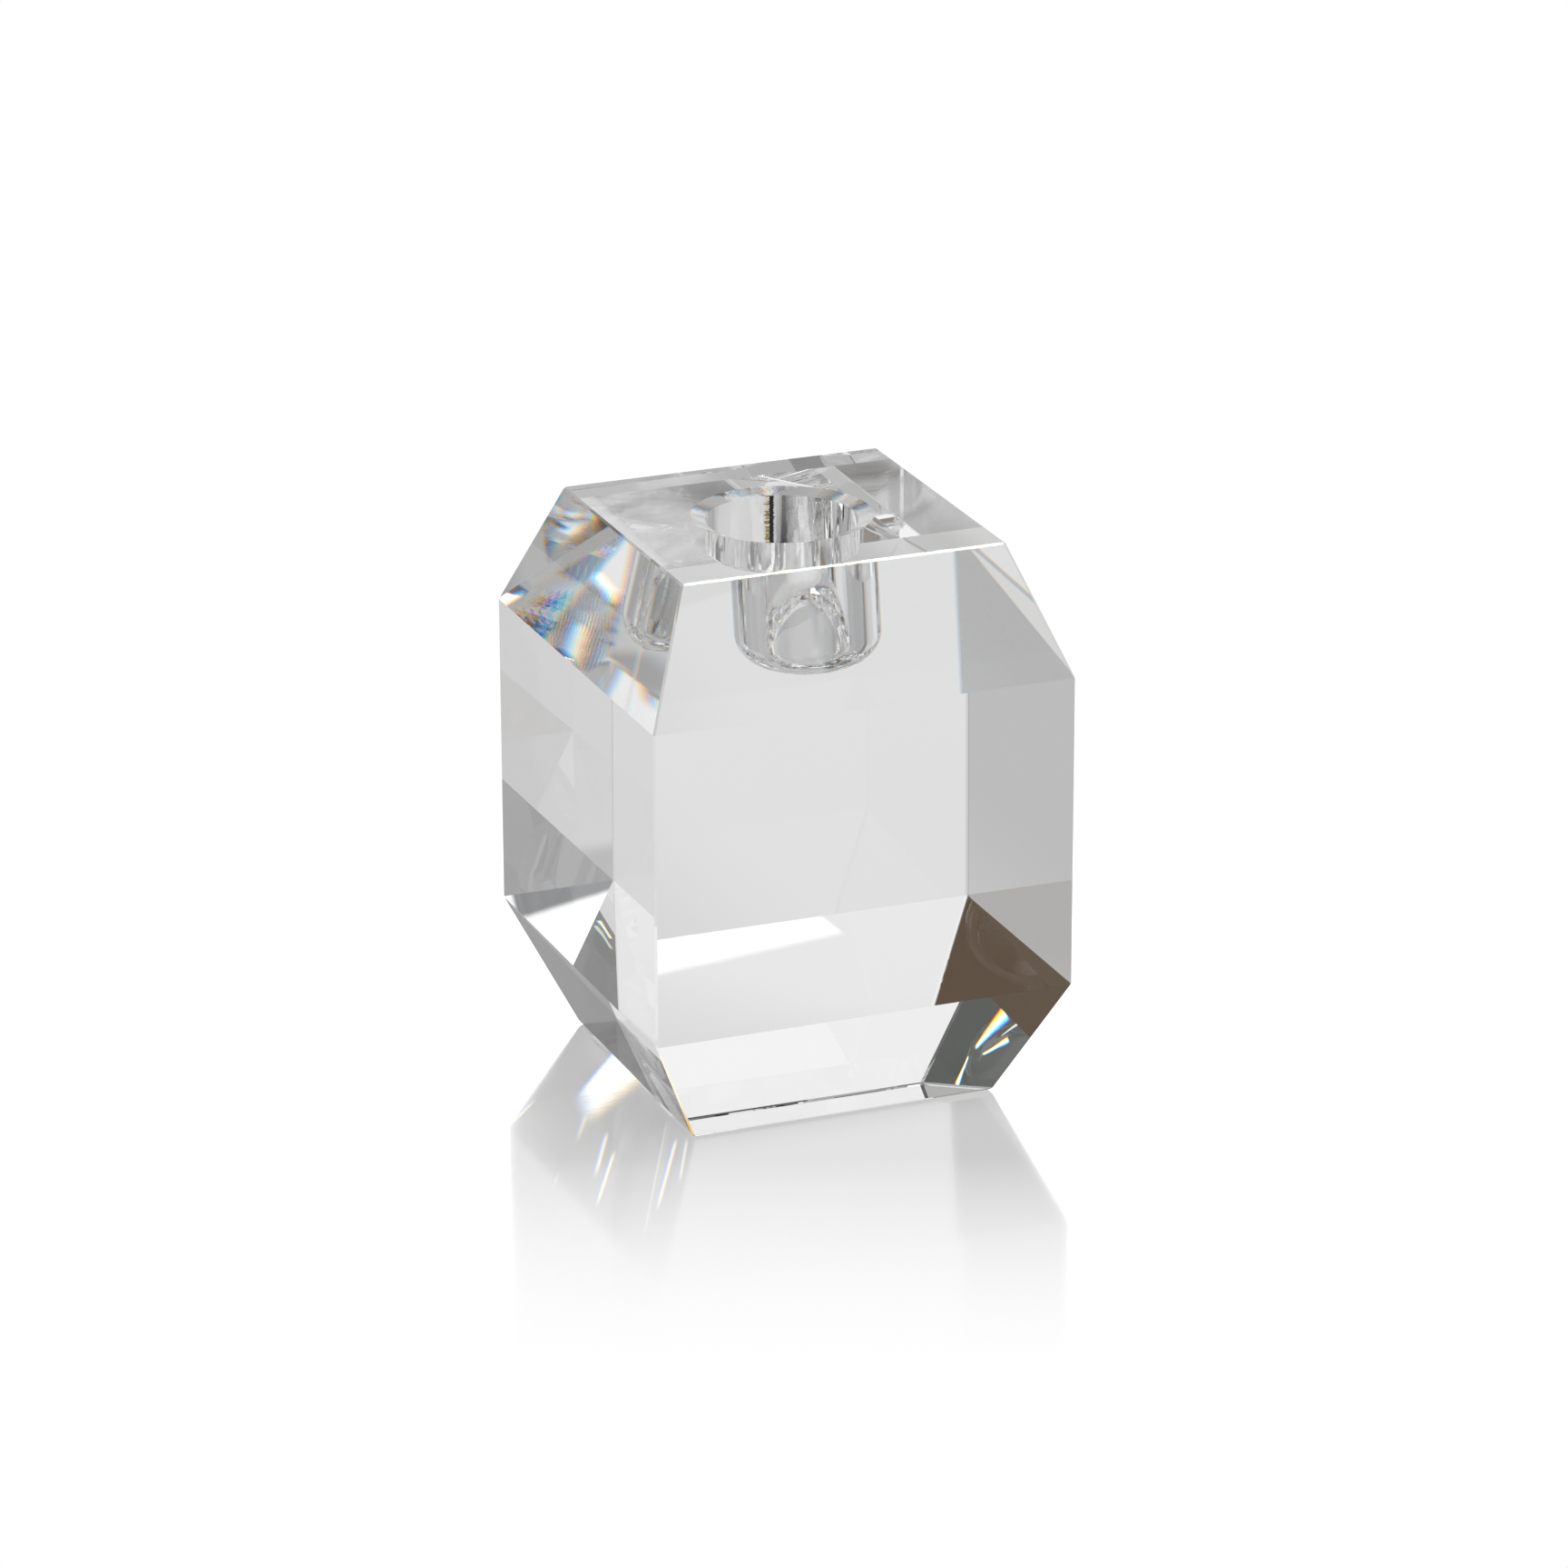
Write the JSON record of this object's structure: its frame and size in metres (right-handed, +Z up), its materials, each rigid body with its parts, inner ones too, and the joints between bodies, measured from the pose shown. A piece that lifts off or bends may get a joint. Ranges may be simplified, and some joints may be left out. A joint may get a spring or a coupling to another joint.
{
  "type": "glass candlestick",
  "caption": "Low faceted clear crystal block candlestick with a round drilled socket for a dinner candle and thin clear foot pads.",
  "frame": {"origin": "on the table under the centre of the block", "axes": "+Z up along the candle's axis, +X to the right and the front face towards -Y"},
  "size_m": [0.065, 0.065, 0.0853],
  "materials": {
    "crystal": "polished clear optical crystal",
    "foot_pad": "clear soft vinyl"
  },
  "bodies": {
    "root": {"crystal_block": "crystal", "pad_front_left": "foot_pad", "pad_front_right": "foot_pad", "pad_back_left": "foot_pad", "pad_back_right": "foot_pad"}
  },
  "joints": []
}
